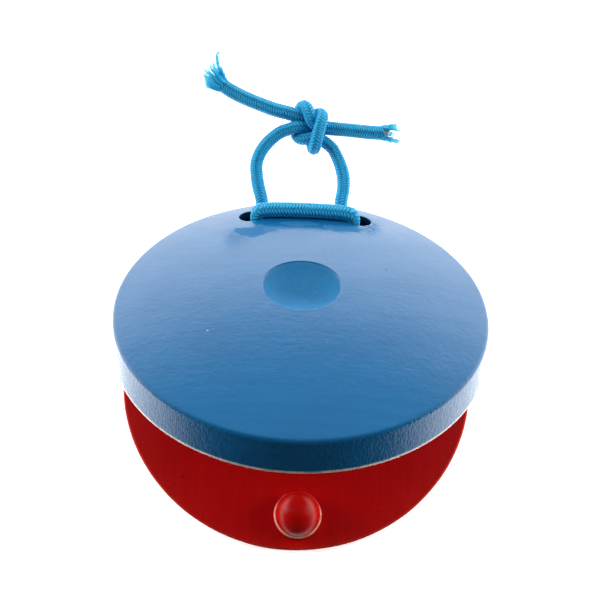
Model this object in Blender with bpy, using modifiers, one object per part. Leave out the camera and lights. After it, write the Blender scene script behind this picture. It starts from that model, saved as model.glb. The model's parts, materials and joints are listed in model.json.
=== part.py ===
"""A pair of wooden finger castanets on an elastic cord, modelled at real size.

Two turned and lacquered shells lie one on the other, held open by a braided elastic
cord. The cord runs over the upper shell, down through both shells, back under the
lower one, and is knotted behind them into a finger loop. The lower shell stands on
the narrow flat land around its thumb dimple. Metres, +Z up, +Y to the cord's side.
"""

import math

import bmesh
import bpy
from mathutils import Matrix, Vector

# Shells, in their own frame: inner face at z = 0, crown upwards.
MM = 0.001
SHELL_RADIUS = 0.028
RIM_HEIGHT = 0.0055
CROWN_RISE = 0.004
SHELL_HEIGHT = RIM_HEIGHT + CROWN_RISE
EDGE_ROUND = 0.00077
LIP_ROUND = 0.0004
DIMPLE_RADIUS = 0.0054
DIMPLE_DEPTH = 0.0017
LAND_WIDTH = 0.001
CUP_RADIUS = 0.015
CUP_DEPTH = 0.0048
SHELL_STEPS = 64

# Cord holes through both shells, near the back edge.
HOLE_RADIUS = 0.00208
HOLE_X = 0.00865
HOLE_Y = 0.02075

# How the upper shell lies on the lower one.
OPEN_ANGLE = math.radians(26.7)
SKEW_ANGLE = math.radians(1.2)
SET_FORWARD = 0.0011
REST_GAP = 0.00015

# Striker knob on the lower shell's inner face, with a spigot in a blind socket.
KNOB_RADIUS = 0.0036
KNOB_NECK = 0.0016
KNOB_X = 0.0012
KNOB_Y = -0.0230
SPIGOT_RADIUS = 0.0015
SPIGOT_LENGTH = 0.0025
FIT_GAP = 0.0003

# Elastic cord.
CORD_RADIUS = 0.0011
CORE_RADIUS = 0.0005
JOIN_GAP = 0.0003
LOOP_TILT = math.radians(25)
LOOP_PIVOT = Vector((0.0, 0.0302, 0.00855))
KNOT_CENTRE = (0.3, 15.1)
KNOT_RADIUS = 0.0032
KNOT_HEIGHT = 0.0082
KNOT_FLATNESS = 0.84

# The origin is on the standing surface, midway along the two shells together.
BACK_OVERHANG = (
    EDGE_ROUND * (1 - math.cos(OPEN_ANGLE))
    + (RIM_HEIGHT - EDGE_ROUND) * math.sin(OPEN_ANGLE)
    - SET_FORWARD
)
LOWER_AXIS_Y = -BACK_OVERHANG / 2
CLAP_PIVOT = Vector((0.0, LOWER_AXIS_Y + SHELL_RADIUS - SET_FORWARD, SHELL_HEIGHT + REST_GAP))

# The cord's route, by hand, in millimetres. The bridge is in the upper shell's frame,
# from inside one hole to inside the other.
BRIDGE_ROUTE = [
    (-8.0, 20.75, 0.15),
    (-7.85, 20.75, 2.5),
    (-7.74, 20.75, 5.0),
    (-7.71, 20.75, 6.5),
    (-7.66, 20.75, 7.3),
    (-7.25, 20.75, 7.98),
    (-6.5, 20.75, 8.36),
    (-5.1, 20.75, 8.66),
    (-2.6, 20.75, 8.83),
    (0.0, 20.75, 8.87),
    (2.6, 20.75, 8.83),
    (5.1, 20.75, 8.66),
    (6.5, 20.75, 8.36),
    (7.25, 20.75, 7.98),
    (7.66, 20.75, 7.3),
    (7.71, 20.75, 6.5),
    (7.74, 20.75, 5.0),
    (7.85, 20.75, 2.5),
    (8.0, 20.75, 0.15),
]
# Each leg is in the part's frame: down through the lower shell, back under it and up behind.
LEG_ROUTES = {
    "left": [
        (-9.1, 20.2, 9.35),
        (-9.1, 20.2, 7.4),
        (-9.1, 20.25, 5.2),
        (-9.1, 20.35, 3.2),
        (-9.1, 20.72, 2.1),
        (-9.1, 21.7, 1.52),
        (-9.05, 23.2, 1.6),
        (-8.9, 25.2, 2.1),
        (-8.6, 27.2, 3.2),
        (-8.3, 28.6, 4.8),
        (-8.1, 29.4, 6.3),
        (-8.0, 30.4, 7.8),
    ],
    "right": [
        (9.1, 20.2, 9.35),
        (9.1, 20.2, 7.4),
        (9.1, 20.25, 5.2),
        (9.1, 20.35, 3.2),
        (9.1, 20.72, 2.1),
        (9.1, 21.7, 1.52),
        (8.95, 23.2, 1.6),
        (8.5, 25.2, 2.1),
        (7.8, 27.2, 3.2),
        (7.2, 28.6, 4.8),
        (6.7, 29.4, 6.3),
        (6.3, 30.4, 7.8),
    ],
}
# The loop and the tails are in the loop's plane: across, and away from the loop's hinge.
RING_ROUTES = {
    "left": [
        (-8.05, 2.1),
        (-8.75, 4.0),
        (-9.1, 6.1),
        (-9.1, 8.0),
        (-8.6, 9.8),
        (-7.5, 11.6),
        (-5.9, 13.2),
        (-4.5, 14.1),
        (-3.25, 14.5),
    ],
    "right": [
        (6.1, 2.1),
        (6.35, 4.3),
        (6.25, 6.4),
        (5.7, 8.3),
        (4.85, 10.1),
        (3.95, 11.55),
    ],
}
TAIL_ROUTES = {
    "left": [
        (-3.25, 17.05),
        (-4.6, 17.25),
        (-6.6, 17.65),
        (-8.75, 18.3),
        (-10.9, 19.0),
        (-13.05, 19.85),
        (-14.8, 20.7),
        (-16.2, 21.6),
    ],
    "right": [
        (3.85, 14.8),
        (6.0, 14.8),
        (8.2, 14.7),
        (10.5, 14.6),
        (12.9, 14.6),
    ],
}
LEG_END = 10
RING_START = 12
TIGHT_STEP = 0.0013
OPEN_STEP = 0.0024
FRAY_LENGTHS = {"left": 0.0048, "right": 0.0026}

RED = (0.38, 0.008, 0.006)
BLUE = (0.025, 0.15, 0.36)
CYAN = (0.03, 0.35, 0.62)
CREAM = (0.80, 0.70, 0.62)


def clear_scene():
    """Remove every object left in the scene."""
    for old in list(bpy.data.objects):
        bpy.data.objects.remove(old)


def new_collection(name):
    """A collection under the scene's own."""
    made = bpy.data.collections.new(name)
    bpy.context.scene.collection.children.link(made)
    return made


def new_material(name, colour, roughness):
    """A Principled material with one colour."""
    made = bpy.data.materials.new(name)
    made.use_nodes = True
    shader = made.node_tree.nodes["Principled BSDF"]
    shader.inputs["Base Color"].default_value = (*colour, 1.0)
    shader.inputs["Roughness"].default_value = roughness
    shader.inputs["Metallic"].default_value = 0.0
    return made


def arc(centre, radius, start, end, count):
    """Points of an arc in the (x, z) plane, from start to end in degrees."""
    points = []
    for i in range(count + 1):
        turn = math.radians(start + (end - start) * i / count)
        points.append((centre[0] + radius * math.cos(turn), centre[1] + radius * math.sin(turn)))
    return points


def cap_height(radius, rise, at):
    """Height above its rim circle of a spherical cap of that rim radius and rise."""
    sphere = (radius**2 + rise**2) / (2 * rise)
    return math.sqrt(sphere**2 - at**2) - (sphere - rise)


def shell_profile():
    """A shell's section from the dimple's centre, down the outside, to the cup's centre."""
    dome_end = SHELL_RADIUS - EDGE_ROUND
    land_end = DIMPLE_RADIUS + LAND_WIDTH
    points = []
    for i in range(5):
        x = DIMPLE_RADIUS * i / 4
        points.append((x, SHELL_HEIGHT - cap_height(DIMPLE_RADIUS, DIMPLE_DEPTH, x)))
    points.append((land_end, SHELL_HEIGHT))
    for i in range(1, 6):
        x = land_end + (dome_end - land_end) * i / 6
        points.append((x, RIM_HEIGHT + cap_height(SHELL_RADIUS, CROWN_RISE, x)))
    points += arc((dome_end, RIM_HEIGHT - EDGE_ROUND), EDGE_ROUND, 74, 0, 3)
    points += arc((SHELL_RADIUS - LIP_ROUND, LIP_ROUND), LIP_ROUND, 0, -90, 2)
    for i in range(7):
        x = CUP_RADIUS * (1 - i / 6)
        points.append((x, cap_height(CUP_RADIUS, CUP_DEPTH, x)))
    return points


def knob_profile():
    """The striker knob's section, from its crown down to the end of its spigot."""
    points = arc((0.0, KNOB_NECK), KNOB_RADIUS, 90, 0, 6)
    points.append((KNOB_RADIUS, FIT_GAP))
    points.append((SPIGOT_RADIUS, FIT_GAP))
    points.append((SPIGOT_RADIUS, -SPIGOT_LENGTH))
    points.append((0.0, -SPIGOT_LENGTH))
    return points


def knot_profile():
    """The knot's outer shape, a barrel with rounded ends."""
    half = KNOT_HEIGHT / 2
    soft = KNOT_RADIUS / 2
    points = [(0.0, half)]
    points += arc((KNOT_RADIUS - soft, half - soft), soft, 90, 0, 3)
    points += arc((KNOT_RADIUS - soft, soft - half), soft, 0, -90, 3)
    points.append((0.0, -half))
    return points


def fray_profile(length):
    """A frayed end's section: a flared sleeve of loose sheath, open at both ends."""
    wall = CORD_RADIUS - CORE_RADIUS - FIT_GAP
    flare = CORD_RADIUS * 0.35
    inner = CORD_RADIUS - wall
    return [
        (CORD_RADIUS + flare - wall, length),
        (CORD_RADIUS + flare, length),
        (CORD_RADIUS + flare, length / 2),
        (CORD_RADIUS, 0.0),
        (inner, 0.0),
        (inner + flare, length / 2),
        (CORD_RADIUS + flare - wall, length),
    ]


def turned(name, profile, steps, material, home):
    """A solid of revolution about Z: the profile with a Screw modifier."""
    mesh = bpy.data.meshes.new(name)
    sketch = bmesh.new()
    closed = profile[0] == profile[-1]
    outline = profile[:-1] if closed else profile
    verts = [sketch.verts.new((x, 0.0, z)) for x, z in outline]
    for a, b in zip(verts, verts[1:]):
        sketch.edges.new((a, b))
    if closed:
        sketch.edges.new((verts[-1], verts[0]))
    sketch.to_mesh(mesh)
    sketch.free()
    mesh.materials.append(material)
    made = bpy.data.objects.new(name, mesh)
    home.objects.link(made)
    screw = made.modifiers.new("turning", "SCREW")
    screw.axis = "Z"
    screw.angle = math.tau
    screw.steps = steps
    screw.render_steps = steps
    screw.use_merge_vertices = True
    screw.merge_threshold = 0.00001
    screw.use_smooth_shade = True
    return made


def drill(name, radius, depth, sides, home):
    """A cutting cylinder along Z, its middle at its origin."""
    mesh = bpy.data.meshes.new(name)
    tool = bmesh.new()
    bmesh.ops.create_cone(
        tool,
        cap_ends=True,
        segments=sides,
        radius1=radius,
        radius2=radius,
        depth=depth,
    )
    tool.to_mesh(mesh)
    tool.free()
    made = bpy.data.objects.new(name, mesh)
    made.hide_render = True
    made.display_type = "WIRE"
    home.objects.link(made)
    return made


def cut(target, cutter):
    """Take the cutter's shape out of the target."""
    step = target.modifiers.new(cutter.name, "BOOLEAN")
    step.operation = "DIFFERENCE"
    step.solver = "EXACT"
    step.object = cutter


def empty(name, location, home):
    """An empty that stands on a joint's axis."""
    made = bpy.data.objects.new(name, None)
    made.location = location
    home.objects.link(made)
    return made


def smooth_line(controls, per_span=12):
    """A smooth curve through the control points (centripetal Catmull-Rom), as points."""
    pts = [Vector(p) for p in controls]
    pts = [pts[0] * 2 - pts[1], *pts, pts[-1] * 2 - pts[-2]]
    line = []
    for p0, p1, p2, p3 in zip(pts, pts[1:], pts[2:], pts[3:]):
        t1 = (p1 - p0).length ** 0.5
        t2 = t1 + (p2 - p1).length ** 0.5
        t3 = t2 + (p3 - p2).length ** 0.5
        for i in range(per_span):
            t = t1 + (t2 - t1) * i / per_span
            a1 = p0.lerp(p1, t / t1)
            a2 = p1.lerp(p2, (t - t1) / (t2 - t1))
            a3 = p2.lerp(p3, (t - t2) / (t3 - t2))
            b1 = a1.lerp(a2, t / t2)
            b2 = a2.lerp(a3, (t - t1) / (t3 - t1))
            line.append(b1.lerp(b2, (t - t1) / (t2 - t1)))
    line.append(pts[-2])
    return line


def evenly(line, step, trim_start=0.0, trim_end=0.0):
    """Points along a line about a step apart, with its two ends trimmed back."""
    lengths = [0.0]
    for a, b in zip(line, line[1:]):
        lengths.append(lengths[-1] + (b - a).length)
    first, last = trim_start, lengths[-1] - trim_end
    count = max(2, round((last - first) / step))
    points, k = [], 0
    for i in range(count + 1):
        want = first + (last - first) * i / count
        while k < len(line) - 2 and lengths[k + 1] < want:
            k += 1
        share = (want - lengths[k]) / (lengths[k + 1] - lengths[k])
        points.append(line[k].lerp(line[k + 1], share))
    return points


def cord_tube(name, points, material, home, parent=None):
    """A stretch of the cord: a round tube with flat ends along the points."""
    data = bpy.data.curves.new(name, "CURVE")
    data.dimensions = "3D"
    data.bevel_depth = CORD_RADIUS
    data.bevel_resolution = 2
    data.use_fill_caps = True
    spline = data.splines.new("POLY")
    spline.points.add(len(points) - 1)
    for knot, place in zip(spline.points, points):
        knot.co = (*place, 1.0)
    data.materials.append(material)
    made = bpy.data.objects.new(name, data)
    made.parent = parent
    home.objects.link(made)
    return made


def in_metres(points):
    """Route points from millimetres to metres, flat ones lifted to the plane's z = 0."""
    return [Vector((*p, 0.0)[:3]) * MM for p in points]


def loop_frame():
    """The matrix from the loop's plane to the part's frame."""
    return Matrix.Translation(LOOP_PIVOT) @ Matrix.Rotation(LOOP_TILT, 4, "X")


def upper_frame():
    """The matrix from the upper shell's frame to the part's frame."""
    opened = Matrix.Translation(CLAP_PIVOT) @ Matrix.Rotation(-OPEN_ANGLE, 4, "X")
    back_to_axis = Matrix.Translation((0.0, -SHELL_RADIUS, 0.0))
    return opened @ back_to_axis @ Matrix.Rotation(-SKEW_ANGLE, 4, "Y")


def make_lower_shell(material, home, tools):
    """The lower shell, inner face up, with two cord holes and the knob's socket."""
    shell = turned("lower_shell", shell_profile(), SHELL_STEPS, material, home)
    shell.location = (0.0, LOWER_AXIS_Y, SHELL_HEIGHT)
    shell.rotation_euler = (math.pi, 0.0, 0.0)
    for side, sign in (("left", -1), ("right", 1)):
        hole = drill("lower_hole_" + side, HOLE_RADIUS, SHELL_HEIGHT * 2, 24, tools)
        hole.location = (sign * HOLE_X, LOWER_AXIS_Y + HOLE_Y, SHELL_HEIGHT / 2)
        cut(shell, hole)
    depth = SPIGOT_LENGTH + FIT_GAP
    socket = drill("knob_socket", SPIGOT_RADIUS + FIT_GAP, depth * 2, 24, tools)
    socket.location = (KNOB_X, LOWER_AXIS_Y + KNOB_Y, SHELL_HEIGHT)
    cut(shell, socket)
    return shell


def make_upper_shell(pivot, material, home, tools):
    """The upper shell, crown up, on the clap hinge's empty, with two cord holes."""
    shell = turned("upper_shell", shell_profile(), SHELL_STEPS, material, home)
    shell.parent = pivot
    shell.location = (0.0, -SHELL_RADIUS, 0.0)
    shell.rotation_euler = (0.0, -SKEW_ANGLE, 0.0)
    for side, sign in (("left", -1), ("right", 1)):
        hole = drill("upper_hole_" + side, HOLE_RADIUS, SHELL_HEIGHT * 2, 24, tools)
        hole.parent = shell
        hole.location = (sign * HOLE_X, HOLE_Y, SHELL_HEIGHT / 2)
        cut(shell, hole)
    return shell


def make_knob(material, home):
    """The striker knob, standing on the lower shell's inner face."""
    knob = turned("striker_knob", knob_profile(), 32, material, home)
    knob.location = (KNOB_X, LOWER_AXIS_Y + KNOB_Y, SHELL_HEIGHT)
    return knob


def make_risers(material, home):
    """The short stretches of cord between the two shells' inner faces."""
    frame = upper_frame()
    for side, sign in (("left", -1), ("right", 1)):
        mouth = Vector((sign * 8.0, 20.75, -0.15)) * MM
        below = Vector((sign * 8.05, 20.75, -1.0)) * MM
        foot = Vector((sign * 9.1, 20.2, 9.65)) * MM
        above = Vector((sign * 9.05, 20.2, 10.5)) * MM
        line = smooth_line([frame @ mouth, frame @ below, above, foot])
        points = [line[0], *evenly(line, TIGHT_STEP)[1:-1], line[-1]]
        cord_tube("cord_riser_" + side, points, material, home)


def make_free_cord(side, loop, material, home):
    """One leg, its bend behind the shells and its half of the finger loop."""
    to_part = loop_frame()
    ring = [to_part @ p for p in in_metres(RING_ROUTES[side])]
    controls = in_metres(LEG_ROUTES[side]) + ring
    per_span = 12
    line = smooth_line(controls, per_span)
    leg = line[: LEG_END * per_span + 1]
    bend = line[LEG_END * per_span : RING_START * per_span + 1]
    half = line[RING_START * per_span :]
    gap = JOIN_GAP * 0.75
    cord_tube("cord_leg_" + side, evenly(leg, TIGHT_STEP, 0.0, gap), material, home)
    cord_tube("cord_bend_" + side, evenly(bend, TIGHT_STEP, gap, gap), material, home)
    to_loop = to_part.inverted()
    points = [to_loop @ p for p in evenly(half, OPEN_STEP, gap, 0.0)]
    cord_tube("cord_loop_" + side, points, material, home, loop)


def make_knot(loop, material, home):
    """The knot's outer shape, upright in the loop's plane."""
    knot = turned("cord_knot", knot_profile(), 20, material, home)
    knot.parent = loop
    knot.location = (KNOT_CENTRE[0] * MM, KNOT_CENTRE[1] * MM, 0.0)
    knot.rotation_euler = (-math.pi / 2, 0.0, 0.0)
    knot.scale = (1.0, KNOT_FLATNESS, 1.0)
    return knot


def make_tail(side, loop, sheath, core, home):
    """A loose tail of the cord, with its frayed sheath and the core's cut end."""
    controls = in_metres(TAIL_ROUTES[side])
    cord_tube("cord_tail_" + side, evenly(smooth_line(controls), OPEN_STEP), sheath, home, loop)
    tip = controls[-1]
    along = (controls[-1] - controls[-2]).normalized()
    turn = along.to_track_quat("Z", "Y")
    fray = turned("cord_fray_" + side, fray_profile(FRAY_LENGTHS[side]), 16, sheath, home)
    stub = drill("core_end_" + side, CORE_RADIUS, JOIN_GAP * 4, 12, home)
    stub.hide_render = False
    stub.display_type = "TEXTURED"
    stub.data.materials.append(core)
    for piece, ahead in ((fray, JOIN_GAP), (stub, JOIN_GAP * 3)):
        piece.parent = loop
        piece.location = tip + along * ahead
        piece.rotation_mode = "QUATERNION"
        piece.rotation_quaternion = turn


def main():
    """Build the castanets."""
    clear_scene()
    parts = new_collection("castanets")
    tools = new_collection("cutters")
    red = new_material("red_lacquer", RED, 0.25)
    blue = new_material("blue_lacquer", BLUE, 0.2)
    sheath = new_material("cord_sheath", CYAN, 0.7)
    core = new_material("rubber_core", CREAM, 0.6)
    clap = empty("clap_pivot", CLAP_PIVOT, parts)
    clap.rotation_euler = (-OPEN_ANGLE, 0.0, 0.0)
    loop = empty("loop_pivot", LOOP_PIVOT, parts)
    loop.rotation_euler = (LOOP_TILT, 0.0, 0.0)
    make_lower_shell(red, parts, tools)
    make_knob(red, parts)
    upper = make_upper_shell(clap, blue, parts, tools)
    bridge = evenly(smooth_line(in_metres(BRIDGE_ROUTE)), TIGHT_STEP)
    cord_tube("cord_bridge", bridge, sheath, parts, upper)
    make_risers(sheath, parts)
    for side in ("left", "right"):
        make_free_cord(side, loop, sheath, parts)
        make_tail(side, loop, sheath, core, parts)
    make_knot(loop, sheath, parts)


main()
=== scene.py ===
"""Looks of a pair of wooden finger castanets on a braided elastic cord.

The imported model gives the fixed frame. Around it this script makes the turned and
lacquered shells, the striker knob, the braided sheath of the cord with its knot and
frayed ends, and the studio. Lengths are in millimetres inside the classes and in
metres once a mesh is made. +Z is up and +Y points to the cord's side.
"""

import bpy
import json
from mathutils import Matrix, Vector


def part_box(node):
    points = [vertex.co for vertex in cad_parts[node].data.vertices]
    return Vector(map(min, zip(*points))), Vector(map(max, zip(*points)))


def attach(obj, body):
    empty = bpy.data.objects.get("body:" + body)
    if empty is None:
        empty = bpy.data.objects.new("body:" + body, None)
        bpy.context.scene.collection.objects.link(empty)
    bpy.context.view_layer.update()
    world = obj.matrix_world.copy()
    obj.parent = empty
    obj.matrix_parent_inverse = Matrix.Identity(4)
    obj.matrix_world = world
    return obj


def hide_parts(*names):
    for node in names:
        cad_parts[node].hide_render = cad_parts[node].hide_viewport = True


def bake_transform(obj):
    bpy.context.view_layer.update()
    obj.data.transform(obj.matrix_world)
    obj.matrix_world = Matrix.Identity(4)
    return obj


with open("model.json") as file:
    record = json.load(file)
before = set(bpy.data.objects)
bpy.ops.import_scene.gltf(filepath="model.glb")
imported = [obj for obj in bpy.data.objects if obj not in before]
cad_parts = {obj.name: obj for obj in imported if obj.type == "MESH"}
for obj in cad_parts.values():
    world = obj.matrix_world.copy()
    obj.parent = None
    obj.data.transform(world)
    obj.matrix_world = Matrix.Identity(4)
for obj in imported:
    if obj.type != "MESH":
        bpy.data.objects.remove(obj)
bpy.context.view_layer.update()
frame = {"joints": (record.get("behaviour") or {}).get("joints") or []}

import json
import logging
import math
import random
from dataclasses import dataclass, field
from enum import Enum
from typing import Callable

import bpy
import numpy as np
from mathutils import Matrix, Vector, noise

LOG = logging.getLogger("castanets")
MM = 0.001

HINGES = {joint["name"]: Vector(joint["pos_m"]) for joint in frame["joints"]}
OPEN_ANGLE = math.radians(26.7)
SKEW_ANGLE = math.radians(1.2)
LOOP_TILT = math.radians(25)
SHELL_RADIUS = 28.0
LOWER_FACE = 9.5
BORE_X, BORE_Y = 8.65, 20.75

Object, Material = bpy.types.Object, bpy.types.Material
Tree, Socket = bpy.types.NodeTree, bpy.types.NodeSocket
Point = Colour = tuple[float, float, float]
Profile = list[tuple[float, float]]


class Body(Enum):
    """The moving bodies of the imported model."""

    LOWER = "lower_half"
    UPPER = "upper_half"
    LOOP = "finger_loop"


class Side(Enum):
    """The two ends of the cord, seen from the open side."""

    LEFT = -1
    RIGHT = 1

    @property
    def word(self) -> str:
        """The side's name as it stands in node names."""
        return self.name.lower()


# --------------------------------------------------------------------------- frames


def upper_frame() -> Matrix:
    """Place the upper shell's own frame, inner face at z = 0, in the part's frame.

    Returns:
        The matrix from the shell's frame to the part's frame, in metres.
    """
    opened = Matrix.Translation(HINGES["clap_hinge"]) @ Matrix.Rotation(-OPEN_ANGLE, 4, "X")
    to_axis = Matrix.Translation((0.0, -SHELL_RADIUS * MM, 0.0))
    return opened @ to_axis @ Matrix.Rotation(-SKEW_ANGLE, 4, "Y")


def lower_frame() -> Matrix:
    """Place the lower shell's own frame, which lies crown down, in the part's frame.

    Returns:
        The matrix from the shell's frame to the part's frame, in metres.
    """
    low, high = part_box("lower_shell")
    middle = Vector(((low.x + high.x) / 2, (low.y + high.y) / 2, high.z))
    return Matrix.Translation(middle) @ Matrix.Rotation(math.pi, 4, "X")


def loop_frame() -> Matrix:
    """Place the finger loop's plane in the part's frame.

    Returns:
        The matrix from the plane (across, away from the hinge, out of the plane).
    """
    return Matrix.Translation(HINGES["loop_swing"]) @ Matrix.Rotation(LOOP_TILT, 4, "X")


# --------------------------------------------------------------------------- mesh helpers


def mesh_object(name: str, verts: np.ndarray, faces: list, smooth: bool = True) -> Object:
    """Make an object from vertices in millimetres and faces.

    Args:
        name: The object's name.
        verts: An array of points, in millimetres.
        faces: Tuples of vertex numbers.
        smooth: Whether the faces are shaded smooth.

    Returns:
        The new object, linked to the scene.
    """
    mesh = bpy.data.meshes.new(name)
    mesh.from_pydata((np.asarray(verts, float) * MM).tolist(), [], faces)
    if smooth:
        mesh.shade_smooth()
    made = bpy.data.objects.new(name, mesh)
    bpy.context.scene.collection.objects.link(made)
    return made


def turned_mesh(profile: Profile, steps: int) -> tuple[np.ndarray, list]:
    """Turn a profile about Z into a closed skin.

    Args:
        profile: (radius, height) points; the first and the last lie on the axis.
        steps: Steps around.

    Returns:
        The vertices, in millimetres, and the faces, facing out where the profile runs
        from the top down the outside.
    """
    turn = np.linspace(0.0, math.tau, steps, endpoint=False)
    ring = np.stack([np.cos(turn), np.sin(turn)], axis=1)
    verts = [np.array([[0.0, 0.0, profile[0][1]]])]
    for radius, height in profile[1:-1]:
        verts.append(np.column_stack([ring * radius, np.full(steps, height)]))
    verts.append(np.array([[0.0, 0.0, profile[-1][1]]]))
    faces = []
    rows = len(profile) - 2
    last = 1 + (rows - 1) * steps
    for i in range(steps):
        j = (i + 1) % steps
        faces.append((0, 1 + i, 1 + j))
        faces += [(a + i, a + steps + i, a + steps + j, a + j) for a in range(1, last, steps)]
        faces.append((last + i, last + steps, last + j))
    return np.vstack(verts), faces


def arc(centre: tuple[float, float], radius: float, start: float, end: float, count: int) -> list:
    """Points of an arc in the (radius, height) plane.

    Args:
        centre: The arc's centre.
        radius: Its radius.
        start: The first point's angle, in degrees.
        end: The last point's angle, in degrees.
        count: Steps along the arc.

    Returns:
        A list of count + 1 points.
    """
    turns = [math.radians(start + (end - start) * i / count) for i in range(count + 1)]
    return [(centre[0] + radius * math.cos(t), centre[1] + radius * math.sin(t)) for t in turns]


def cap_height(radius: float, rise: float, at: float) -> float:
    """Height of a spherical cap above its rim circle.

    Args:
        radius: The rim circle's radius.
        rise: The cap's rise at its middle.
        at: The distance from the middle.

    Returns:
        The height at that distance.
    """
    sphere = (radius**2 + rise**2) / (2 * rise)
    return math.sqrt(sphere**2 - at**2) - (sphere - rise)


def smooth_line(controls: list[Vector], per_span: int = 12) -> list[Vector]:
    """A smooth curve (centripetal Catmull-Rom) through the control points.

    Args:
        controls: The points it goes through.
        per_span: Points made for each span.

    Returns:
        The curve's points.
    """
    pts = [Vector(p) for p in controls]
    pts = [pts[0] * 2 - pts[1], *pts, pts[-1] * 2 - pts[-2]]
    line = []
    for p0, p1, p2, p3 in zip(pts, pts[1:], pts[2:], pts[3:]):
        t1 = (p1 - p0).length ** 0.5
        t2 = t1 + (p2 - p1).length ** 0.5
        t3 = t2 + (p3 - p2).length ** 0.5
        for i in range(per_span):
            t = t1 + (t2 - t1) * i / per_span
            a1 = p0.lerp(p1, t / t1)
            a2 = p1.lerp(p2, (t - t1) / (t2 - t1))
            a3 = p2.lerp(p3, (t - t2) / (t3 - t2))
            b1 = a1.lerp(a2, t / t2)
            b2 = a2.lerp(a3, (t - t1) / (t3 - t1))
            line.append(b1.lerp(b2, (t - t1) / (t2 - t1)))
    line.append(pts[-2])
    return line


def evenly(line: np.ndarray, step: float) -> np.ndarray:
    """Space points evenly along a line.

    Args:
        line: The line's points, one to a row.
        step: The wanted distance between points.

    Returns:
        The new points, with both ends kept.
    """
    run = np.concatenate([[0.0], np.cumsum(np.linalg.norm(np.diff(line, axis=0), axis=1))])
    count = max(2, round(run[-1] / step))
    want = np.linspace(0.0, run[-1], count + 1)
    return np.column_stack([np.interp(want, run, line[:, k]) for k in range(3)])


def in_part(frame_of: Matrix, route: list[Point]) -> list[Vector]:
    """Carry points in millimetres from a frame of their own to the part's frame."""
    return [frame_of @ (Vector(p) * MM) / MM for p in route]


def tube_faces(rows: int, around: int, base: int = 0) -> list[tuple[int, int, int, int]]:
    """Join rings of vertices into the side of a tube.

    Args:
        rows: How many rings there are.
        around: Vertices in each ring.
        base: The first ring's first vertex.

    Returns:
        The faces.
    """
    faces = []
    for a in range(base, base + (rows - 1) * around, around):
        for j in range(around):
            k = (j + 1) % around
            faces.append((a + j, a + k, a + around + k, a + around + j))
    return faces


def store(piece: Object, name: str, values: np.ndarray) -> None:
    """Keep a number for each vertex, for the material to read."""
    mark = piece.data.attributes.new(name, "FLOAT", "POINT")
    mark.data.foreach_set("value", np.asarray(values, np.float32))


def run_length(line: np.ndarray) -> float:
    """The length of a line of points."""
    return float(np.linalg.norm(np.diff(line, axis=0), axis=1).sum())


# --------------------------------------------------------------------------- node helpers


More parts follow.
